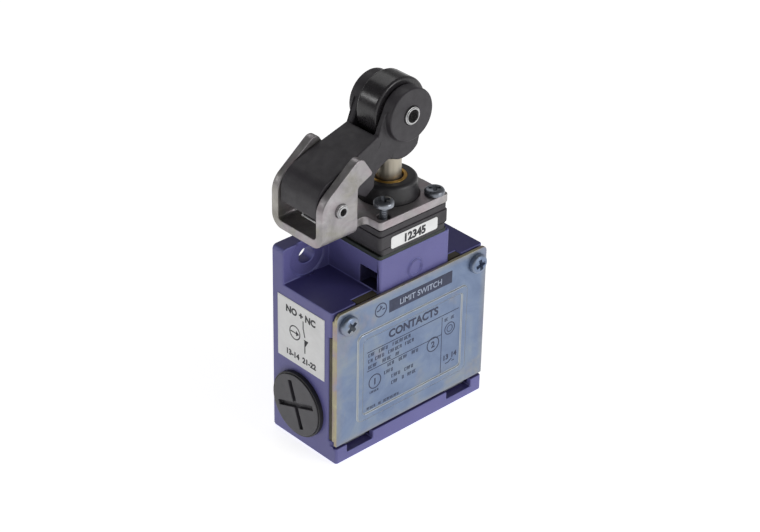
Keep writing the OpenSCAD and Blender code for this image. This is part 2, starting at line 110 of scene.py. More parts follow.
def srgb(r, g, b):
    """Linear colour of a screen colour given in 0 to 255."""
    return tuple(
        (c / 255 / 12.92) if c / 255 <= 0.04045 else ((c / 255 + 0.055) / 1.055) ** 2.4
        for c in (r, g, b)) + (1.0,)


# ---------------------------------------------------------------- materials

class Nodes:
    """A node material under construction, in object coordinates (metres)."""

    def __init__(self, name):
        self.mat = bpy.data.materials.new(name)
        self.mat.use_nodes = True
        self.tree = self.mat.node_tree
        self.shader = self.tree.nodes["Principled BSDF"]
        self.place = self.tree.nodes.new("ShaderNodeTexCoord").outputs["Object"]

    def link(self, a, b):
        self.tree.links.new(a, b)

    def feed(self, value, socket):
        """Gives a socket either another node's output or a constant."""
        if hasattr(value, "is_output"):
            self.link(value, socket)
        else:
            socket.default_value = value

    def stretched(self, scale):
        node = self.tree.nodes.new("ShaderNodeMapping")
        node.inputs["Scale"].default_value = scale
        self.link(self.place, node.inputs["Vector"])
        return node.outputs["Vector"]

    def noise(self, scale, detail=3.0, rough=0.55, vector=None, warp=0.0):
        node = self.tree.nodes.new("ShaderNodeTexNoise")
        node.inputs["Scale"].default_value = scale
        node.inputs["Detail"].default_value = detail
        node.inputs["Roughness"].default_value = rough
        node.inputs["Distortion"].default_value = warp
        self.link(vector or self.place, node.inputs["Vector"])
        return node.outputs["Fac"]

    def ramp(self, fac, stops):
        node = self.tree.nodes.new("ShaderNodeValToRGB")
        bar = node.color_ramp
        while len(bar.elements) < len(stops):
            bar.elements.new(0.5)
        for element, (at, color) in zip(bar.elements, stops):
            element.position = at
            element.color = color
        self.link(fac, node.inputs["Fac"])
        return node.outputs["Color"]

    def span(self, fac, lo, hi, low=0.3, high=0.7):
        node = self.tree.nodes.new("ShaderNodeMapRange")
        node.inputs["From Min"].default_value = low
        node.inputs["From Max"].default_value = high
        node.inputs["To Min"].default_value = lo
        node.inputs["To Max"].default_value = hi
        self.link(fac, node.inputs["Value"])
        return node.outputs["Result"]

    def mix(self, fac, a, b, mode="MIX"):
        node = self.tree.nodes.new("ShaderNodeMix")
        node.data_type = "RGBA"
        node.blend_type = mode
        for value, index in ((fac, 0), (a, 6), (b, 7)):
            self.feed(value, node.inputs[index])
        return node.outputs[2]

    def math(self, op, a, b=0.0):
        node = self.tree.nodes.new("ShaderNodeMath")
        node.operation = op
        for value, socket in zip((a, b), node.inputs):
            self.feed(value, socket)
        return node.outputs[0]

    def parts_of(self, vector):
        node = self.tree.nodes.new("ShaderNodeSeparateXYZ")
        self.link(vector, node.inputs[0])
        return node.outputs

    def normal_part(self, axis):
        """How far the surface faces along one axis, -1 to 1."""
        geometry = self.tree.nodes.new("ShaderNodeNewGeometry")
        return self.parts_of(geometry.outputs["Normal"])[axis]

    def toward_rim(self):
        """0 at the cover's centre, 1 along its outer edge."""
        parts = self.parts_of(self.place)
        shares = []
        for axis in "XZ":
            away = self.math("SUBTRACT", parts[axis], COVER_CENTER[axis] * MM)
            share = self.math("MULTIPLY", self.math("ABSOLUTE", away), 1 / (COVER_HALF[axis] * MM))
            shares.append(share)
        return self.math("MAXIMUM", *shares)

    def within(self, lo, hi):
        """1 inside a box given in mm, 0 outside it."""
        parts = self.parts_of(self.place)
        found = 1.0
        for k in range(3):
            node = self.tree.nodes.new("ShaderNodeMath")
            node.operation = "COMPARE"
            node.inputs[1].default_value = (lo[k] + hi[k]) / 2 * MM
            node.inputs[2].default_value = (hi[k] - lo[k]) / 2 * MM
            self.link(parts[k], node.inputs[0])
            found = self.math("MULTIPLY", node.outputs[0], found)
        return found

    def bump(self, height, depth, strength=1.0, before=None):
        node = self.tree.nodes.new("ShaderNodeBump")
        node.inputs["Strength"].default_value = strength
        node.inputs["Distance"].default_value = depth
        self.link(height, node.inputs["Height"])
        if before is not None:
            self.link(before, node.inputs["Normal"])
        return node.outputs["Normal"]

    def done(self, color, rough, metal=0.0, normal=None, specular=0.5):
        """Sets the shader and gives the finished material."""
        values = {"Base Color": color, "Roughness": rough, "Metallic": metal,
                  "Specular IOR Level": specular}
        for name, value in values.items():
            self.feed(value, self.shader.inputs[name])
        if normal is not None:
            self.link(normal, self.shader.inputs["Normal"])
        return self.mat


def mottled(name, dark, light, rough, metal=0.0, patch=90, grain=2500, depth=0.01, stretch=None):
    """Two tones mixed in soft patches, with varied gloss and a fine grain."""
    n = Nodes(name)
    vector = n.stretched(stretch) if stretch else None
    tone = n.ramp(n.noise(patch, 4, 0.6, vector, 0.4),
                  [(0.32, srgb(*dark)), (0.68, srgb(*light))])
    gloss = n.span(n.noise(patch * 4, 5, 0.65, vector), *rough)
    normal = n.bump(n.noise(grain, 3, 0.6, vector), depth * MM)
    return n.done(tone, gloss, metal, normal)


def paint_look():
    """Violet paint with fine specks; painted shade on faces that face up and in the recess, and a
    painted highlight on slanted edges.
    """
    n = Nodes("casing_paint")
    tone = n.ramp(n.noise(45, 3, 0.5), [(0.3, srgb(96, 94, 150)), (0.7, srgb(104, 102, 160))])
    specks = n.ramp(n.noise(2600, 2, 0.7), [(0.30, srgb(120, 120, 160)), (0.42, (1, 1, 1, 1))])
    tone = n.mix(0.22, tone, specks, "MULTIPLY")
    # Painted shade: faces that face up are mixed toward a darker violet.
    painted_top_shade = n.span(n.normal_part("Z"), 0.0, 0.75, 0.55, 0.95)
    tone = n.mix(painted_top_shade, tone, srgb(52, 48, 104))
    # Painted highlight: slanted faces, such as the rounded edges, are mixed toward a light violet.
    painted_edge_highlight = n.span(n.math("ABSOLUTE", n.normal_part("Z")), 0.0, 1.0, 0.15, 0.45)
    painted_edge_highlight = n.math("MULTIPLY", painted_edge_highlight, n.span(n.normal_part("Z"), 1.0, 0.0, 0.75, 0.95))
    tone = n.mix(n.math("MULTIPLY", painted_edge_highlight, 0.55), tone, srgb(128, 130, 196))
    # Painted shade: the paint inside the side recess is mixed toward near black.
    recess = n.math("MULTIPLY", n.within(RECESS_LOW, RECESS_HIGH), 0.75)
    tone = n.mix(recess, tone, srgb(14, 13, 24))
    gloss = n.span(n.noise(300, 4), 0.36, 0.50)
    coarse = n.bump(n.noise(520, 2, 0.4), 0.035 * MM, 0.6)
    normal = n.bump(n.noise(3000, 3, 0.6), 0.008 * MM, 0.8, coarse)
    return n.done(tone, gloss, 0.0, normal, specular=0.42)


def zinc_look(name, gold, is_cover=False):
    """Bluish passivated zinc, warm in patches and on slopes; the cover's bead gets a pale painted
    highlight.
    """
    n = Nodes(name)
    cloud = n.noise(70, 5, 0.6, None, 1.2)
    blue = n.ramp(cloud, [(0.25, srgb(104, 120, 150)), (0.5, srgb(121, 137, 165)),
                          (0.75, srgb(138, 150, 164))])
    warm = n.ramp(n.noise(160, 4, 0.6, None, 0.8),
                  [(0.3, srgb(196, 186, 132)), (0.5, srgb(178, 162, 118)),
                   (0.62, srgb(176, 152, 142)), (0.8, srgb(140, 156, 180))])
    front = n.math("ABSOLUTE", n.normal_part("Y"))
    slope = n.span(front, 1.0, 0.0, 0.80, 0.985)
    patches = n.span(n.noise(55, 4, 0.6, None, 0.6), 0.0, 1.0, 0.56, 0.74)
    if is_cover:
        rim = n.toward_rim()
        # Painted highlight: the bead's slopes inside the rim are mixed toward a pale grey.
        bead = n.math("MULTIPLY", slope, n.span(rim, 0.85, 0.0, 0.90, 0.95))
        slope = n.math("MULTIPLY", slope, n.span(rim, 0.15, 1.0, 0.90, 0.95))
        blue = n.mix(n.math("MULTIPLY", bead, 0.55), blue, srgb(226, 230, 224))
        patches = n.math("MAXIMUM", patches, n.span(rim, 0.0, 0.7, 0.91, 1.0))
    mask = n.math("MAXIMUM", n.math("MULTIPLY", slope, gold),
                  n.math("MULTIPLY", patches, 0.38))
    tone = n.mix(mask, blue, warm)
    gloss = n.span(n.noise(500, 5, 0.7), 0.30, 0.50)
    normal = n.bump(n.noise(1800, 4, 0.6), 0.012 * MM, 0.7)
    return n.done(tone, gloss, 0.72, normal)


def bracket_look():
    """Grey plated steel, tinted in patches, with the dimples of a pressed sheet."""
    n = Nodes("bracket_steel")
    cloud = n.noise(120, 5, 0.65, None, 1.0)
    grey = n.ramp(cloud, [(0.25, srgb(130, 127, 129)), (0.5, srgb(163, 159, 161)),
                          (0.75, srgb(190, 187, 189))])
    tint = n.ramp(n.noise(95, 3, 0.5, None, 0.7),
                  [(0.30, srgb(150, 150, 122)), (0.5, srgb(165, 162, 164)),
                   (0.72, srgb(176, 148, 156))])
    tone = n.mix(0.35, grey, tint)
    gloss = n.span(n.noise(700, 4, 0.7), 0.34, 0.55)
    normal = n.bump(n.noise(1100, 4, 0.7), 0.02 * MM, 0.8)
    return n.done(tone, gloss, 0.78, normal)


def plastic_look(name, dark, light, rough, depth, painted_top_lift=1.0):
    """Glass-filled black plastic with a fine mould texture; faces that don't face up get painted
    shade, and the last argument sets a painted light on faces that face up.
    """
    n = Nodes(name)
    tone = n.ramp(n.noise(150, 4, 0.6), [(0.3, srgb(*dark)), (0.7, srgb(*light))])
    scuffs = n.span(n.noise(900, 5, 0.75), 0.0, 1.0, 0.60, 0.80)
    tone = n.mix(n.math("MULTIPLY", scuffs, 0.25), tone, srgb(96, 90, 88))
    # Painted light and shade: the tone is scaled by how far the face looks up.
    painted_top_light = n.span(n.normal_part("Z"), 0.84, painted_top_lift, 0.1, 0.8)
    tone = n.mix(1.0, tone, painted_top_light, "MULTIPLY")
    gloss = n.span(n.noise(420, 5, 0.7), *rough)
    fine = n.bump(n.noise(3400, 3, 0.6), depth * MM, 0.9)
    normal = n.bump(n.noise(500, 3, 0.5), 0.02 * MM, 0.5, fine)
    return n.done(tone, gloss, 0.0, normal)


# Each row: dark tone, light tone, range of roughness, depth of the texture in mm.
PLASTICS = {
    "boss_plastic": ((38, 37, 39), (52, 51, 54), (0.34, 0.50), 0.012),
    "roller_plastic": ((44, 42, 45), (58, 56, 59), (0.20, 0.34), 0.004),
    "plug_plastic": ((59, 58, 63), (73, 71, 77), (0.30, 0.46), 0.014),
}

# Each row: dark tone, light tone, range of roughness, metal, scale of the patches, scale of the
# grain, depth of the grain in mm.
MOTTLED = {
    "screw_grey": ((104, 108, 116), (148, 152, 160), (0.24, 0.42), 0.85, 260, 2400, 0.01),
    "pin_steel": ((150, 150, 152), (205, 205, 205), (0.24, 0.36), 0.9, 300, 3000, 0.002),
    "black_rubber": ((26, 26, 28), (44, 43, 45), (0.40, 0.62), 0.0, 200, 2200, 0.015),
    "gasket_rubber": ((62, 58, 44), (84, 78, 60), (0.6, 0.8), 0.0, 180, 1800, 0.02),
    "head_gasket": ((26, 33, 31), (40, 48, 45), (0.5, 0.7), 0.0, 180, 1800, 0.02),
    "label_white": ((226, 226, 226), (240, 240, 240), (0.42, 0.55), 0.0, 120, 1500, 0.004),
    "brass": ((168, 128, 60), (214, 172, 92), (0.30, 0.52), 0.85, 260, 1500, 0.02),
    "ink": ((24, 24, 30), (40, 40, 48), (0.45, 0.6), 0.0, 300, 2500, 0.004),
    "cover_ink": ((38, 45, 70), (54, 61, 88), (0.4, 0.55), 0.2, 300, 2500, 0.004),
    "band_words": ((150, 160, 182), (172, 182, 200), (0.4, 0.55), 0.3, 300, 2500, 0.004),
    "contact_plastic": ((150, 118, 74), (172, 138, 90), (0.45, 0.6)),
    "carrier_plastic": ((206, 206, 198), (222, 222, 216), (0.4, 0.55)),
    "contact_metal": ((196, 196, 200), (222, 222, 226), (0.2, 0.35), 0.95),
}


def make_looks():
    LOOK["casing_paint"] = paint_look()
    LOOK["zinc_plate"] = zinc_look("zinc_plate", 0.72, is_cover=True)
    LOOK["screw_zinc"] = zinc_look("screw_zinc", 0.10)
    LOOK["bracket_steel"] = bracket_look()
    LOOK["plunger_steel"] = mottled("plunger_steel", (158, 151, 138), (196, 188, 172), (0.30, 0.40),
                                    0.85, 160, 1600, 0.0015, stretch=(1, 1, 0.08))
    # The black plastic gets a painted light on faces that face up.
    LOOK["black_plastic"] = plastic_look("black_plastic", (46, 43, 48), (60, 57, 62), (0.44, 0.62),
                                         0.020, painted_top_lift=1.3)
    for name, row in PLASTICS.items():
        LOOK[name] = plastic_look(name, *row)
    for name, row in MOTTLED.items():
        LOOK[name] = mottled(name, *row)


# ---------------------------------------------------------------- mesh helpers

def piece(name, mesh, look, body="root", stands_for=()):
    """A visible piece that rides on a body and may replace CAD nodes."""
    ob = bpy.data.objects.new(name, mesh)
    scene.collection.objects.link(ob)
    mesh.materials.clear()
    mesh.materials.append(LOOK[look])
    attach(ob, body)
    if stands_for:
        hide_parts(*stands_for)
    return ob


def mesh_of(bm, name):
    """The finished bmesh as a mesh, facing outward and smooth."""
    bmesh.ops.recalc_face_normals(bm, faces=bm.faces)
    for face in bm.faces:
        face.smooth = True
    mesh = bpy.data.meshes.new(name)
    bm.to_mesh(mesh)
    bm.free()
    return mesh


def round_edges(ob, width, segments, angle):
    """Rounds the edges sharper than the angle and gives the new faces the second material."""
    bevel = ob.modifiers.new("round_edges", "BEVEL")
    bevel.width = width * MM
    bevel.segments = segments
    bevel.limit_method = "ANGLE"
    bevel.angle_limit = math.radians(angle)
    bevel.use_clamp_overlap = False
    bevel.loop_slide = False
    bevel.material = 1


def even_normals(ob):
    even = ob.modifiers.new("even_normals", "WEIGHTED_NORMAL")
    even.keep_sharp = False
    even.weight = 60


def clean_copy(node):
    """The CAD node's shape as one welded mesh with plain normals."""
    bm = bmesh.new()
    bm.from_mesh(frame["nodes"][node].data)
    for layers in (bm.loops.layers, bm.faces.layers, bm.edges.layers, bm.verts.layers):
        for kind in ("float_vector", "float", "int"):
            store = getattr(layers, kind, None)
            if store is not None:
                for layer in list(store.values()):
                    store.remove(layer)
    bmesh.ops.remove_doubles(bm, verts=bm.verts, dist=WELD_GAP)
    bmesh.ops.dissolve_limit(bm, angle_limit=SAME_PLANE, verts=bm.verts, edges=bm.edges)
    mesh = mesh_of(bm, node + "_shape")
    stored = mesh.attributes.get("custom_normal")
    if stored is not None:
        mesh.attributes.remove(stored)
    return mesh


def refined(node, name, width, look, body="root", segments=3, angle=30):
    """A piece with the CAD node's shape and edges rounded to the width in mm."""
    plain = clean_copy(node)
    ob = piece(name, plain, look, body, (node,))
    if width > 0:
        plain.materials.append(LOOK[look])
        round_edges(ob, width, segments, angle)
        bpy.context.view_layer.update()
        rounded = evaluated(ob)
        bm = bmesh.new()
        bm.from_mesh(rounded)
        bpy.data.meshes.remove(rounded)
        tree = BVHTree.FromPolygons([v.co for v in plain.vertices],
                                    [p.vertices for p in plain.polygons])
        settle(bm, tree, width * STRAY * MM)
        contain(bm, plain)
        retile(bm, tree)
        ob.modifiers.clear()
        bm.to_mesh(plain)
        bm.free()
        plain.materials.pop()
    even_normals(ob)
    return ob


def settle(bm, tree, reach):
    """Puts the few points that the rounding threw off the shape back between their neighbours."""
    loose = {v for v in bm.verts if tree.find_nearest(v.co)[3] > reach}
    while loose:
        ready = {}
        for v in loose:
            near = [e.other_vert(v) for e in v.link_edges if e.other_vert(v) not in loose]
            if near:
                ready[v] = sum((o.co for o in near), Vector()) / len(near)
        if not ready:
            break
        for v, place in ready.items():
            v.co = place
        loose -= set(ready)


def contain(bm, plain):
    """Keeps every point inside the plain shape's box."""
    places = np.array([tuple(v.co) for v in plain.vertices])
    lo, hi = places.min(axis=0), places.max(axis=0)
    for v in bm.verts:
        v.co = Vector(np.clip(np.array(v.co), lo, hi))


def flat_region(seed, normal):
    """The faces in one plane with the seed, joined to it without crossing a rounded edge."""
    origin = seed.verts[0].co
    region, edge = {seed}, [seed]
    while edge:
        for side in edge.pop().edges:
            for face in side.link_faces:
                if face in region or face.material_index:
                    continue
                if all(abs((v.co - origin).dot(normal)) < FLAT_GAP for v in face.verts):
                    region.add(face)
                    edge.append(face)
    return region


def inside(points, ends):
    """Which points lie inside the loops drawn by the edges, by counting crossings."""
    px, py = points[:, 0, None], points[:, 1, None]
    x1, y1 = ends[None, :, 0, 0], ends[None, :, 0, 1]
    x2, y2 = ends[None, :, 1, 0], ends[None, :, 1, 1]
    spans = (y1 > py) != (y2 > py)
    rise = np.where(y2 == y1, 1.0, y2 - y1)
    return (np.sum(spans & (px < (x2 - x1) * (py - y1) / rise + x1), axis=1) % 2) == 1


def retile(bm, tree):
    """Fills each flat region anew from its outline, so that every hole in it stays open."""
    seeds = [f for f in bm.faces if len(f.verts) > 4 and not f.material_index]
    for seed in seeds:
        if not seed.is_valid:
            continue
        normal = most_common_normal(seed, tree)
        region = flat_region(seed, normal)
        rim = {e for f in region for e in f.edges
               if sum(g in region for g in e.link_faces) == 1}
        corners = list({v for e in rim for v in e.verts})
        number = {v: i for i, v in enumerate(corners)}
        across = normal.orthogonal().normalized()
        along = normal.cross(across)
        origin = seed.verts[0].co.copy()
        flat = [Vector(((v.co - origin).dot(across), (v.co - origin).dot(along))) / MM
                for v in corners]
        pairs = [(number[e.verts[0]], number[e.verts[1]]) for e in rim]
        points, _, tiles, source, _, _ = delaunay_2d_cdt(flat, pairs, [], 0, 1e-4)
        places = np.array([tuple(p) for p in points])
        centers = places[np.array(tiles)].mean(axis=1)
        outline = np.array([[tuple(flat[a]), tuple(flat[b])] for a, b in pairs])
        kept = inside(centers, outline)
        bmesh.ops.delete(bm, geom=list(region), context="FACES_KEEP_BOUNDARY")
        made = []
        for point, came_from in zip(points, source):
            if came_from:
                made.append(corners[came_from[0]])
            else:
                made.append(bm.verts.new(origin + (across * point.x + along * point.y) * MM))
        for tile, keep in zip(tiles, kept):
            ring = [made[k] for k in tile]
            if not keep or len(set(ring)) < 3 or bm.faces.get(ring):
                continue
            face = bm.faces.new(ring)
            face.smooth = True
            face.normal_update()
            if face.normal.dot(normal) < 0:
                face.normal_flip()
    bmesh.ops.delete(bm, geom=[v for v in bm.verts if not v.link_faces], context="VERTS")
    bmesh.ops.delete(bm, geom=[e for e in bm.edges if not e.link_faces], context="EDGES")
    for face in bm.faces:
        face.material_index = 0


def most_common_normal(face, tree):
    """The plain shape's normal below the face, unmoved by how the face's outline folds."""
    votes = {}
    for v in face.verts:
        _, normal, _, gap = tree.find_nearest(v.co)
        if gap < FLAT_GAP:
            key = tuple(round(c, 3) for c in normal)
            votes[key] = votes.get(key, 0) + 1
    return Vector(max(votes, key=votes.get)).normalized() if votes else face.normal.copy()


def turned(profile, sides=96):
    """Turns a closed (radius, height) profile in mm about +Z; radius 0 closes the solid."""
    bm = bmesh.new()
    rings = []
    for r, h in profile:
        if r == 0:
            rings.append([bm.verts.new((0, 0, h * MM))])
        else:
            angles = [2 * PI * k / sides for k in range(sides)]
            rings.append([bm.verts.new((r * MM * math.cos(a), r * MM * math.sin(a), h * MM))
                          for a in angles])
    for i, a in enumerate(rings):
        b = rings[(i + 1) % len(rings)]
        if len(a) == 1 and len(b) == 1:
            continue
        for k in range(sides):
            m = (k + 1) % sides
            if len(a) == 1:
                bm.faces.new((a[0], b[k], b[m]))
            elif len(b) == 1:
                bm.faces.new((a[k], b[0], a[m]))
            else:
                bm.faces.new((a[k], b[k], b[m], a[m]))
    return bm


def evaluated(ob):
    """The object's mesh with its modifiers applied."""
    graph = bpy.context.evaluated_depsgraph_get()
    return bpy.data.meshes.new_from_object(ob.evaluated_get(graph))


def carved(mesh, cutter, name):
    """The mesh with the cutter's volume taken out, worked in mm for the solver's sake."""
    for part in (mesh, cutter):
        part.transform(Matrix.Scale(1 / MM, 4))
    a = bpy.data.objects.new(name + "_body", mesh)
    b = bpy.data.objects.new(name + "_cutter", cutter)
    for ob in (a, b):
        scene.collection.objects.link(ob)
    cut = a.modifiers.new("cut", "BOOLEAN")
    cut.operation = "DIFFERENCE"
    cut.solver = "EXACT"
    cut.use_self = True
    cut.object = b
    bpy.context.view_layer.update()
    result = evaluated(a)
    result.transform(Matrix.Scale(MM, 4))
    for ob in (a, b):
        bpy.data.objects.remove(ob)
    result.name = name
    return result


def add_box(bm, lo, hi, place):
    corners = [bm.verts.new(place @ Vector((x, y, z)))
               for x in (lo[0], hi[0]) for y in (lo[1], hi[1]) for z in (lo[2], hi[2])]
    rings = ((0, 1, 3, 2), (4, 6, 7, 5), (0, 4, 5, 1), (2, 3, 7, 6), (0, 2, 6, 4), (1, 5, 7, 3))
    for ring in rings:
        bm.faces.new([corners[k] for k in ring])


# ---------------------------------------------------------------- screws

def screw_blank(head_r, head_h, shank_r, length):
    """The screw without its cross and thread: a domed pan head on a core."""
    dome = [(0, 0)]
    for k in range(1, 13):
        t = k / 12
        fall = 1 - math.sqrt(1 - (t * 0.995) ** 3.4)
        dome.append((head_r * t, -head_h * 0.52 * fall))
    side = [(head_r, -head_h * 0.62), (head_r, -head_h + 0.15), (head_r - 0.15, -head_h),
            (shank_r, -head_h), (shank_r, -head_h - 0.4)]
    core = shank_r - THREAD_DEPTH
    tip = -head_h - length
    end = [(core, -head_h - 0.6), (core, tip + 0.5), (core * 0.7, tip), (0, tip)]
    return turned(dome + side + end)


def cross_cutter(head_r, head_h):
    """Two crossed slots that narrow toward their floor."""
    bm = bmesh.new()
    top, low = head_r * CROSS_TOP * MM, head_r * CROSS_LOW * MM
    wide, thin = head_r * CROSS_WIDE * MM, head_r * CROSS_THIN * MM
    z1, z0 = 0.3 * MM, -head_h * CROSS_DEEP * MM
    points = [(-top, -wide, z1), (top, -wide, z1), (top, wide, z1), (-top, wide, z1),
              (-low, -thin, z0), (low, -thin, z0), (low, thin, z0), (-low, thin, z0)]
    rings = ((0, 1, 2, 3), (7, 6, 5, 4), (0, 4, 5, 1), (1, 5, 6, 2), (2, 6, 7, 3), (3, 7, 4, 0))
    for quarter in (0, 1):
        turn = Matrix.Rotation(quarter * PI / 2, 4, "Z")
        v = [bm.verts.new(turn @ Vector(p)) for p in points]
        for ring in rings:
            bm.faces.new([v[k] for k in ring])
    return bm


def add_thread(bm, head_h, shank_r, length):
    """Winds a closed ridge about the core, faded out at both ends."""
    core = shank_r - THREAD_DEPTH
    steps = max(1, int((length - 1.6) / THREAD_PITCH)) * THREAD_STEPS
    rows = []
    for i in range(steps + 1):
        a = 2 * PI * i / THREAD_STEPS
        z = -head_h - 0.9 - THREAD_PITCH * i / THREAD_STEPS
        fade = min(1.0, i / 10, (steps - i) / 10 + 0.02)
        crest = core + THREAD_DEPTH * max(fade, 0.05)
        section = ((core - 0.06, 0.26), (crest, 0.04), (crest, -0.04), (core - 0.06, -0.26))
        rows.append([bm.verts.new(Vector((r * math.cos(a), r * math.sin(a), z + dz)) * MM)
                     for r, dz in section])
    for a, b in zip(rows, rows[1:]):
        for k in range(4):
            m = (k + 1) % 4
            bm.faces.new((a[k], a[m], b[m], b[k]))
    bm.faces.new(rows[0])
    bm.faces.new(rows[-1])


def screw_mesh(head_r, head_h, shank_r, length, name):
    """Pan-head screw with a cross recess and a thread: head's top at the origin, along -Z."""
    blank = mesh_of(screw_blank(head_r, head_h, shank_r, length), name + "_blank")
    cutter = mesh_of(cross_cutter(head_r, head_h), name + "_cross")
    bm = bmesh.new()
    bm.from_mesh(carved(blank, cutter, name))
    add_thread(bm, head_h, shank_r, length)
    return mesh_of(bm, name)


def screws(name, nodes, template, places, look):
    """One piece with a copy of the template at each place."""
    bm = bmesh.new()
    for place in places:
        part = template.copy()
        part.transform(place)
        bm.from_mesh(part)
        bpy.data.meshes.remove(part)
    ob = piece(name, mesh_of(bm, name), look, "root", nodes)
    ob.modifiers.new("split", "EDGE_SPLIT").split_angle = math.radians(38)
    return ob


def aimed(point, direction, turn):
    """Place whose +Z looks along the direction, turned about it."""
    aim = Vector(direction).to_track_quat("Z", "Y").to_matrix().to_4x4()
    about = Matrix.Rotation(math.radians(turn), 4, "Z")
    return Matrix.Translation(Vector(point) * MM) @ aim @ about


# ---------------------------------------------------------------- printing

class Print:
    """Thin closed solids laid on one face: u to the reader's right, v up, out of the face."""

    def __init__(self, origin, u, out):
        u, out = Vector(u), Vector(out)
        v = out.cross(u)
        self.place = Matrix((u, v, out)).transposed().to_4x4()
        self.place.translation = Vector(origin) * MM
        self.bm = bmesh.new()

    def point(self, u, v, height):
        return self.bm.verts.new(self.place @ (Vector((u, v, height)) * MM))

    def bar(self, u0, v0, u1, v1):
        lo, hi = Vector((u0, v0, -INK_IN)) * MM, Vector((u1, v1, INK_OUT)) * MM
        add_box(self.bm, lo, hi, self.place)

    def outline(self, points):
        base = [self.point(u, v, -INK_IN) for u, v in points]
        top = [self.point(u, v, INK_OUT) for u, v in points]
        self.bm.faces.new(base)
        self.bm.faces.new(top)
        for k in range(len(points)):
            m = (k + 1) % len(points)
            self.bm.faces.new((base[k], base[m], top[m], top[k]))

    def ring(self, u, v, r0, r1, sides=48):
        angles = [2 * PI * k / sides for k in range(sides)]
        loops = [[self.point(u + r * math.cos(a), v + r * math.sin(a), h) for a in angles]
                 for r, h in ((r0, -INK_IN), (r0, INK_OUT), (r1, INK_OUT), (r1, -INK_IN))]
        for i, a in enumerate(loops):
            b = loops[(i + 1) % 4]
            for k in range(sides):
                m = (k + 1) % sides
                self.bm.faces.new((a[k], b[k], b[m], a[m]))

    def line(self, a, b, width):
        a, b = Vector(a), Vector(b)
        side = Vector((-(b - a).y, (b - a).x)).normalized() * width / 2
        self.outline([tuple(p) for p in (a - side, b - side, b + side, a + side)])

    def text(self, words, u, v, height, bold):
        """Words centred on (u, v), with capitals of that height in mm."""
        font = bpy.data.curves.new("words", "FONT")
        font.body = words
        font.align_x = "CENTER"
        font.size = 1.0
        font.extrude = 0.5
        font.offset = bold
        font.resolution_u = 3
        ob = bpy.data.objects.new("words", font)
        scene.collection.objects.link(ob)
        bpy.context.view_layer.update()
        mesh = evaluated(ob)
        bpy.data.objects.remove(ob)
        tall = max(p.co.y for p in mesh.vertices)
        size = height / tall * MM
        thick = (INK_OUT + INK_IN) * MM
        for p in mesh.vertices:
            p.co = Vector((p.co.x * size, p.co.y * size, (p.co.z + 0.5) * thick - INK_IN * MM))
        mesh.transform(self.place @ Matrix.Translation(Vector((u, v - height / 2, 0)) * MM))
        self.bm.from_mesh(mesh)
        bpy.data.meshes.remove(mesh)

    def finish(self, name, look, slot, body="root"):
        bmesh.ops.remove_doubles(self.bm, verts=self.bm.verts, dist=1e-7)
        mesh = mesh_of(self.bm, name)
        for polygon in mesh.polygons:
            polygon.use_smooth = False
        return piece(name, mesh, look, body)


# ---------------------------------------------------------------- object

def low(node):
    """The low corner of a CAD node's box, in mm."""
    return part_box(node)[0] / MM


def high(node):
    """The high corner of a CAD node's box, in mm."""
    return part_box(node)[1] / MM


def middle(node):
    return (low(node) + high(node)) / 2


def make_casing():
    refined("body_casing", "casing", 0.45, "casing_paint")
    refined("front_cover", "cover", 0.40, "zinc_plate", segments=4, angle=40)
    refined("cover_gasket", "cover_seal", 0.1, "gasket_rubber", segments=2)
    for side in ("left", "right"):
        refined(f"cable_plug_{side}", f"plug_{side}", 0.22, "plug_plastic")
    refined("plug_seals", "plug_washers", 0.15, "black_rubber")
    refined("side_label", "side_label_film", 0.06, "label_white", segments=2)
    screw = screw_mesh(*COVER_SCREW, "cover_screw")
    inset = COVER_SCREW[0]
    lo, hi, mid = low("cover_screws"), high("cover_screws"), middle("cover_screws")
    places = [aimed((x, lo.y, mid.z), (0, -1, 0), turn)
              for x, turn in ((lo.x + inset, 38), (hi.x - inset, 12))]
    screws("cover_screws_threaded", ("cover_screws",), screw, places, "screw_zinc")


def make_head():
    refined("head_gasket", "head_seal", 0.15, "head_gasket", segments=2)
    refined("head_block", "head_body", 0.35, "black_plastic")
    refined("head_cap", "head_cover", 0.25, "black_plastic")
    refined("head_label", "head_label_film", 0.05, "label_white", segments=2)
    refined("lever_bracket", "bracket", 0.32, "bracket_steel")
    refined("guide_boss", "boss", 0.2, "boss_plastic", angle=24)
    refined("plunger_bush", "bush", 0.12, "brass", angle=24)
    refined("plunger_wiper", "wiper", 0.05, "black_rubber", segments=2)
    refined("plunger", "plunger_pin", 0.15, "plunger_steel", "plunger", angle=24)


def make_springs():
    """The two coil springs, each given a mesh of its own; on the real switch each shortens along Z
    as its slide moves down.
    """
    spring = refined("plunger_spring", "return_spring", 0.0, "pin_steel")
    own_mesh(spring)
    spring = refined("carrier_spring", "contact_spring", 0.0, "pin_steel")
    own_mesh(spring)


def make_head_screws():
    screw = screw_mesh(*HEAD_SCREW, "head_screw")
    inset = HEAD_SCREW[0]
    lo, hi = low("head_screws"), high("head_screws")
    places = []
    for x, sx in ((lo.x + inset, -1), (hi.x - inset, 1)):
        for y, sy in ((lo.y + inset, -1), (hi.y - inset, 1)):
            front_left = sx < 0 and sy < 0
            top = hi.z if front_left else hi.z - RAISED_BY
            places.append(aimed((x, y, top), (0, 0, 1), 25 + 40 * sx + 15 * sy))
    screws("head_screws_threaded", ("head_screws",), screw, places, "screw_grey")


def make_lever():
    refined("lever", "lever_arm", 0.5, "black_plastic", "lever")
    refined("roller", "roller_wheel", 0.25, "roller_plastic", "roller", angle=24)
    refined("roller_pin", "roller_axle", 0.15, "pin_steel", "lever", angle=24)
    refined("pivot_pin", "pivot_axle", 0.15, "pin_steel", angle=24)
    refined("lever_spring", "torsion_spring", 0.0, "pin_steel", "lever")


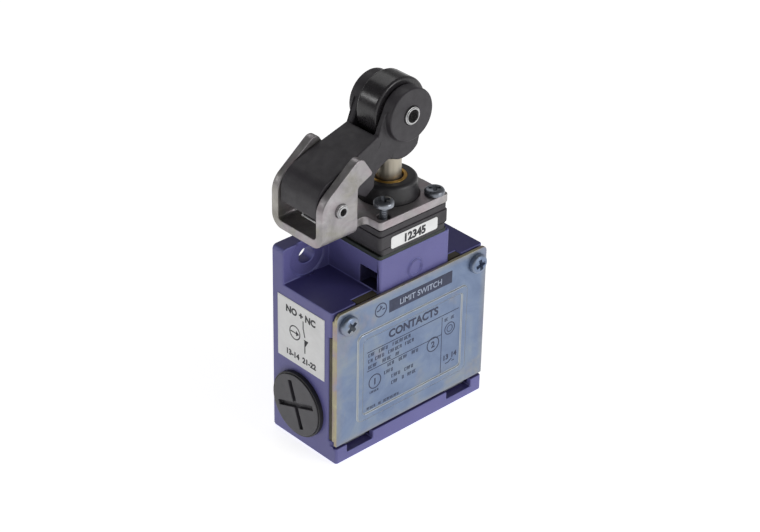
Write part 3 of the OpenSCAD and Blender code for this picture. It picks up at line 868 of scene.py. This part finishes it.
# Layout of the printing on the cover, in mm from the centre of the casing's footprint.
COVER_BARS = ((-19.4, 36.4, 20.2, 36.62), (-19.3, 29.4, 12.8, 29.62), (12.75, 14.5, 12.97, 35.8))
COVER_RINGS = ((-15.9, 24.6, 2.3, 2.65), (9.1, 27.4, 2.35, 2.7), (16.4, 30.4, 2.0, 2.3),
               (16.4, 30.4, 1.05, 1.3))
COVER_TEXTS = (("1", -15.9, 24.6, 2.3), ("2", 9.1, 27.4, 2.3), ("13", 15.0, 19.8, 1.9),
               ("14", 18.6, 19.8, 1.9))
COVER_SWITCH = (((14.9, 17.4), (16.1, 17.4)), ((16.1, 17.4), (17.8, 18.4)),
                ((17.8, 17.4), (19.0, 17.4)))
# Greeked words: the letters' height, the words' height on the cover, and each word's start and
# length.
GREEKED_LINES = (
    (1.25, 35.2, ((-18.8, 3.6), (-14.4, 4.8), (-8.6, 8.2))),
    (1.25, 33.0, ((-18.8, 2.2), (-15.9, 4.6), (-10.4, 6.2), (-3.2, 4.4))),
    (1.25, 30.8, ((-18.8, 4.6), (-12.8, 4.4), (-7.2, 2.4))),
    (1.25, 28.3, ((-10.6, 3.8), (-5.8, 4.6), (-0.2, 3.2))),
    (1.25, 25.9, ((-12.0, 4.4),)),
    (1.25, 23.3, ((-8.8, 4.0), (-3.2, 4.8))),
    (1.25, 20.8, ((-8.8, 3.9), (-4.2, 1.6), (-1.8, 4.2))),
    (0.95, 15.4, ((-19.2, 4.2), (-14.3, 1.6), (-12.1, 7.2))),
    (0.8, 21.0, ((-18.0, 4.2),)),
    (1.1, 34.3, ((14.0, 2.0), (16.8, 2.0))),
)
# Bars of a greeked letter: the kinds that have it, then two corners as shares of its height.
GREEKED_BARS = (
    ((0, 1, 2, 3), (0.0, -0.5), (0.21, 0.5)),
    ((0, 2), (0.42, -0.5), (0.61, 0.5)),
    ((0, 1, 3), (0.16, 0.36), (0.5, 0.5)),
    ((1, 2), (0.16, -0.5), (0.5, -0.36)),
    ((0, 3), (0.16, -0.07), (0.42, 0.07)),
)
LETTER_STEP = 0.78
# How far the cover's front face lies behind its bead's top, and the band's ink above the face.
BEAD_HEIGHT, BAND_HEIGHT = 0.5, 0.03


# Creases on the lever, in mm: start, bend and end across X and Z.
LEVER_HALF_WIDTH = 6.95
CREASES = (((-7.8, 102.7), (-8.0, 101.6), (-8.7, 100.8)),
           ((-2.7, 96.8), (-2.9, 96.0), (-3.2, 95.4)))


def greeked(p, u, v, length, height):
    """A greeked word: upright strokes with short bars between, as text too small to read."""
    step = height * LETTER_STEP
    for k in range(max(1, int(length / step))):
        x = u + k * step
        kind = (k * 7 + int(length * 10) + int(v * 3)) % 4
        for kinds, lo, hi in GREEKED_BARS:
            if kind in kinds:
                p.bar(x + height * lo[0], v + height * lo[1],
                      x + height * hi[0], v + height * hi[1])


def print_on_cover(height=0.0):
    """A print on the cover's front face, or the given height in mm above it."""
    face = low("front_cover").y + BEAD_HEIGHT
    return Print((0, face - height, 0), (1, 0, 0), (0, -1, 0))


def print_band():
    """The dark band across the cover's top with its words, and a switch symbol in a ring."""
    p = print_on_cover()
    p.bar(-10.4, 47.5, 16.6, 51.9)
    p.ring(-13.9, 50.0, 2.15, 2.5)
    p.line((-15.6, 50.0), (-14.7, 50.0), 0.4)
    p.line((-14.7, 50.0), (-13.3, 51.0), 0.4)
    p.line((-13.3, 50.0), (-12.2, 50.0), 0.4)
    p.line((-14.0, 50.5), (-14.0, 51.7), 0.3)
    p.finish("cover_band", "cover_ink", "zinc_plate")
    p = print_on_cover(BAND_HEIGHT)
    p.text("LIMIT SWITCH", 3.1, 49.7, 2.0, 0.012)
    p.finish("cover_band_words", "band_words", "zinc_plate")


def print_cover():
    """The table inside the cover's bead: a title, rules, greeked lines and ringed digits."""
    p = print_on_cover()
    p.text("CONTACTS", 0.3, 39.6, 2.9, 0.035)
    for corners in COVER_BARS:
        p.bar(*corners)
    for height, v, words in GREEKED_LINES:
        for u, length in words:
            greeked(p, u, v, length, height)
    for ring in COVER_RINGS:
        p.ring(*ring)
    for words, u, v, height in COVER_TEXTS:
        p.text(words, u, v, height, 0.03)
    for a, b in COVER_SWITCH:
        p.line(a, b, 0.3)
    p.finish("cover_print", "cover_ink", "zinc_plate")


def print_labels():
    """The side label's contact names and symbol, and the digits on the head's label."""
    p = Print((low("side_label").x, 0, 0), (0, -1, 0), (-1, 0, 0))
    p.text("NO + NC", -1.5, 47.7, 2.4, 0.045)
    p.text("13-14  21-22", -1.4, 32.0, 2.0, 0.045)
    p.ring(-4.2, 40.2, 2.15, 2.55)
    p.line((-6.2, 40.2), (-3.1, 40.2), 0.4)
    p.outline([(-3.6, 39.2), (-2.2, 40.2), (-3.6, 41.2)])
    p.line((-0.3, 43.6), (-0.3, 46.2), 0.42)
    p.line((-0.3, 43.6), (0.5, 40.6), 0.42)
    p.line((0.5, 39.6), (0.5, 34.8), 0.42)
    p.line((0.1, 39.5), (2.0, 39.5), 0.42)
    p.outline([(0.5, 39.3), (1.9, 39.3), (0.5, 36.9)])
    p.finish("side_label_print", "ink", "label_white")
    p = Print((0, low("head_label").y, 0), (1, 0, 0), (0, -1, 0))
    p.text("12345", 0.55, 71.3, 2.8, 0.05)
    p.finish("head_label_print", "ink", "label_white")


def make_creases():
    """The two mould creases on the lever's front side, behind the fork and above the plunger, drawn
    as dark strips of painted shade.
    """
    front_side = middle("roller").y - LEVER_HALF_WIDTH
    p = Print((0, front_side, 0), (1, 0, 0), (0, -1, 0))
    for start, bend, end in CREASES:
        p.line(start, bend, 0.32)
        p.line(bend, end, 0.24)
    p.finish("lever_crease_painted_shade", "black_rubber", "black_plastic", "lever")


def finish_nodes():
    """Gives each CAD node that still shows the look of its slot."""
    slots = {row["node"]: row["material_slot"] for row in frame["record"]["subparts"]}
    for name, ob in frame["nodes"].items():
        for place in ob.material_slots:
            place.material = LOOK[slots[name]]


# ---------------------------------------------------------------- stage

def add_camera():
    sy, cy = math.sin(CAM_YAW), math.cos(CAM_YAW)
    sp, cp = math.sin(CAM_PITCH), math.cos(CAM_PITCH)
    forward = Vector((sy * cp, cy * cp, -sp))
    right = Vector((cy, -sy, 0))
    up = right.cross(forward)
    rolled = math.cos(CAM_ROLL) * right + math.sin(CAM_ROLL) * up
    upper = -math.sin(CAM_ROLL) * right + math.cos(CAM_ROLL) * up
    data = bpy.data.cameras.new("camera")
    data.lens = CAM_LENS
    data.sensor_width = CAM_SENSOR
    data.clip_start = CAM_CLIP_START
    ob = bpy.data.objects.new("camera", data)
    scene.collection.objects.link(ob)
    matrix = Matrix((rolled, upper, -forward)).transposed().to_4x4()
    matrix.translation = CAM_PLACE
    ob.matrix_world = matrix
    scene.camera = ob


def add_lights():
    for name, place, size, watts in LIGHTS:
        data = bpy.data.lights.new(name, "AREA")
        data.energy = watts
        data.size = size
        ob = bpy.data.objects.new(name, data)
        scene.collection.objects.link(ob)
        ob.location = place
        aim = Vector(LIGHT_TARGET) - Vector(place)
        ob.rotation_euler = aim.to_track_quat("-Z", "Y").to_euler()


def add_world():
    """A studio sky: pale walls, a dark top, and one side brighter than the other."""
    world = bpy.data.worlds.new("studio")
    scene.world = world
    world.use_nodes = True
    tree = world.node_tree
    coord = tree.nodes.new("ShaderNodeTexCoord")
    parts = tree.nodes.new("ShaderNodeSeparateXYZ")
    ramp = tree.nodes.new("ShaderNodeValToRGB")
    shift = tree.nodes.new("ShaderNodeMapRange")
    shift.inputs["From Min"].default_value = -1
    tree.links.new(coord.outputs["Generated"], parts.inputs[0])
    tree.links.new(parts.outputs["Z"], shift.inputs["Value"])
    tree.links.new(shift.outputs["Result"], ramp.inputs["Fac"])
    bar = ramp.color_ramp
    bar.elements.new(SKY_STOPS[1][0])
    for element, (at, value) in zip(bar.elements, SKY_STOPS):
        element.position = at
        element.color = (value, value, value, 1)
    side = tree.nodes.new("ShaderNodeVectorMath")
    side.operation = "DOT_PRODUCT"
    side.inputs[1].default_value = SKY_BRIGHT_SIDE
    tree.links.new(coord.outputs["Generated"], side.inputs[0])
    fall = tree.nodes.new("ShaderNodeMapRange")
    fall.inputs["From Min"].default_value = -1
    fall.inputs["To Min"].default_value = SKY_DARKEST
    fall.inputs["To Max"].default_value = SKY_BRIGHTEST
    tree.links.new(side.outputs["Value"], fall.inputs["Value"])
    strength = tree.nodes.new("ShaderNodeMath")
    strength.operation = "MULTIPLY"
    strength.inputs[1].default_value = SKY_STRENGTH
    tree.links.new(fall.outputs["Result"], strength.inputs[0])
    back = tree.nodes["Background"]
    tree.links.new(ramp.outputs["Color"], back.inputs["Color"])
    tree.links.new(strength.outputs[0], back.inputs["Strength"])


def add_floor():
    bm = bmesh.new()
    bm.faces.new([bm.verts.new((x * FLOOR_HALF, y * FLOOR_HALF, FLOOR_HEIGHT))
                  for x, y in ((-1, -1), (1, -1), (1, 1), (-1, 1))])
    mesh = bpy.data.meshes.new("floor")
    bm.to_mesh(mesh)
    bm.free()
    n = Nodes("floor")
    tone = n.ramp(n.noise(8, 2), [(0.3, (0.80, 0.80, 0.80, 1)), (0.7, (0.82, 0.82, 0.82, 1))])
    n.done(tone, 0.7, specular=0.1)
    n.shader.inputs["Emission Color"].default_value = (1, 1, 1, 1)
    n.shader.inputs["Emission Strength"].default_value = FLOOR_GLOW
    ob = bpy.data.objects.new("floor", mesh)
    scene.collection.objects.link(ob)
    mesh.materials.append(n.mat)


add_camera()
add_world()
add_floor()
add_lights()
scene.view_settings.view_transform = "Standard"

make_looks()
make_casing()
make_head()
make_springs()
make_head_screws()
make_lever()
print_band()
print_cover()
print_labels()
make_creases()
finish_nodes()
